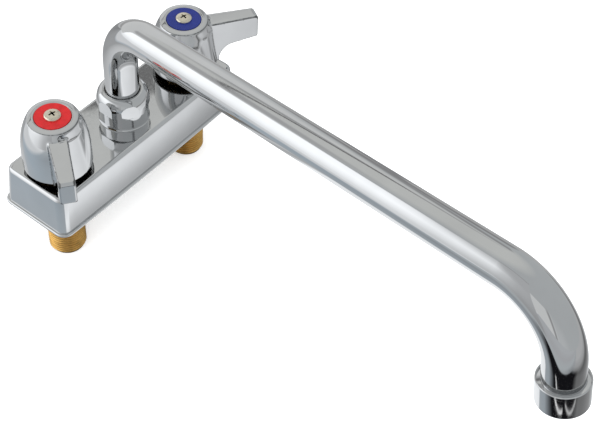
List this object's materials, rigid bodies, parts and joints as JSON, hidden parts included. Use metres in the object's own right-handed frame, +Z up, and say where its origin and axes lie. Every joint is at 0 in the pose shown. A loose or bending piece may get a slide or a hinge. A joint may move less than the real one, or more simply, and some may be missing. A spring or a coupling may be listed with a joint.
{
  "type": "deck mounted bar faucet",
  "caption": "Deck mounted bar faucet: a long low body with threaded inlet shanks, lever handles with red and blue index discs, and a tall swing spout that ends in an aerator.",
  "frame": {"origin": "the middle of the body's underside, on the deck plane, on the spout's swing axis", "axes": "+Z up along the spout's swing axis; -Y to the front, over the sink; the hot valve lies toward -X and the cold valve toward +X"},
  "size_m": [0.1697, 0.3291, 0.1835],
  "materials": {
    "chrome_casting": "polished chrome plate over the cast body",
    "chrome_turned": "polished chrome plate over turned brass",
    "chrome_tube": "polished chrome plate over a bent brass tube",
    "chrome_handle": "polished chrome plate over the cast handles",
    "threaded_brass": "bare brass with a cut pipe thread",
    "brass": "bare turned brass",
    "hot_index_plastic": "red index disc, left bare",
    "cold_index_plastic": "blue index disc, left bare",
    "nickel_screw": "nickel plated screw with a cross recess",
    "ceramic": "lapped white ceramic",
    "slip_plastic": "white moulded plastic",
    "rubber": "black rubber",
    "steel_screen": "thin stainless strainer"
  },
  "bodies": {
    "faucet_body": {"body": "chrome_casting", "hot_shank": "threaded_brass", "cold_shank": "threaded_brass", "spout_hub": "chrome_turned", "spout_nut": "chrome_turned", "spout_bearing": "slip_plastic", "hot_valve_body": "brass", "hot_bonnet_nut": "brass", "hot_fixed_disc": "ceramic", "hot_seat_seal": "rubber", "cold_valve_body": "brass", "cold_bonnet_nut": "brass", "cold_fixed_disc": "ceramic", "cold_seat_seal": "rubber"},
    "spout": {"spout_tube": "chrome_tube", "spout_ferrule": "brass", "spout_seal": "rubber", "aerator_housing": "chrome_turned", "aerator_insert": "slip_plastic", "aerator_screen": "steel_screen", "aerator_washer": "rubber"},
    "hot_lever": {"hot_handle": "chrome_handle", "hot_index": "hot_index_plastic", "hot_handle_screw": "nickel_screw", "hot_stem": "brass", "hot_stem_seal": "rubber", "hot_turning_disc": "ceramic"},
    "cold_lever": {"cold_handle": "chrome_handle", "cold_index": "cold_index_plastic", "cold_handle_screw": "nickel_screw", "cold_stem": "brass", "cold_stem_seal": "rubber", "cold_turning_disc": "ceramic"}
  },
  "joints": [
    {"name": "hot_handle_turn", "type": "hinge", "parent": "faucet_body", "child": "hot_lever", "pos_m": [-0.0508, 0, 0.04], "axis": [0, 0, 1], "range_deg": [-54, 36]},
    {"name": "cold_handle_turn", "type": "hinge", "parent": "faucet_body", "child": "cold_lever", "pos_m": [0.0508, 0, 0.04], "axis": [0, 0, 1], "range_deg": [-60, 30]},
    {"name": "spout_swing", "type": "hinge", "parent": "faucet_body", "child": "spout", "pos_m": [0, 0, 0.04], "axis": [0, 0, 1], "continuous": true}
  ]
}
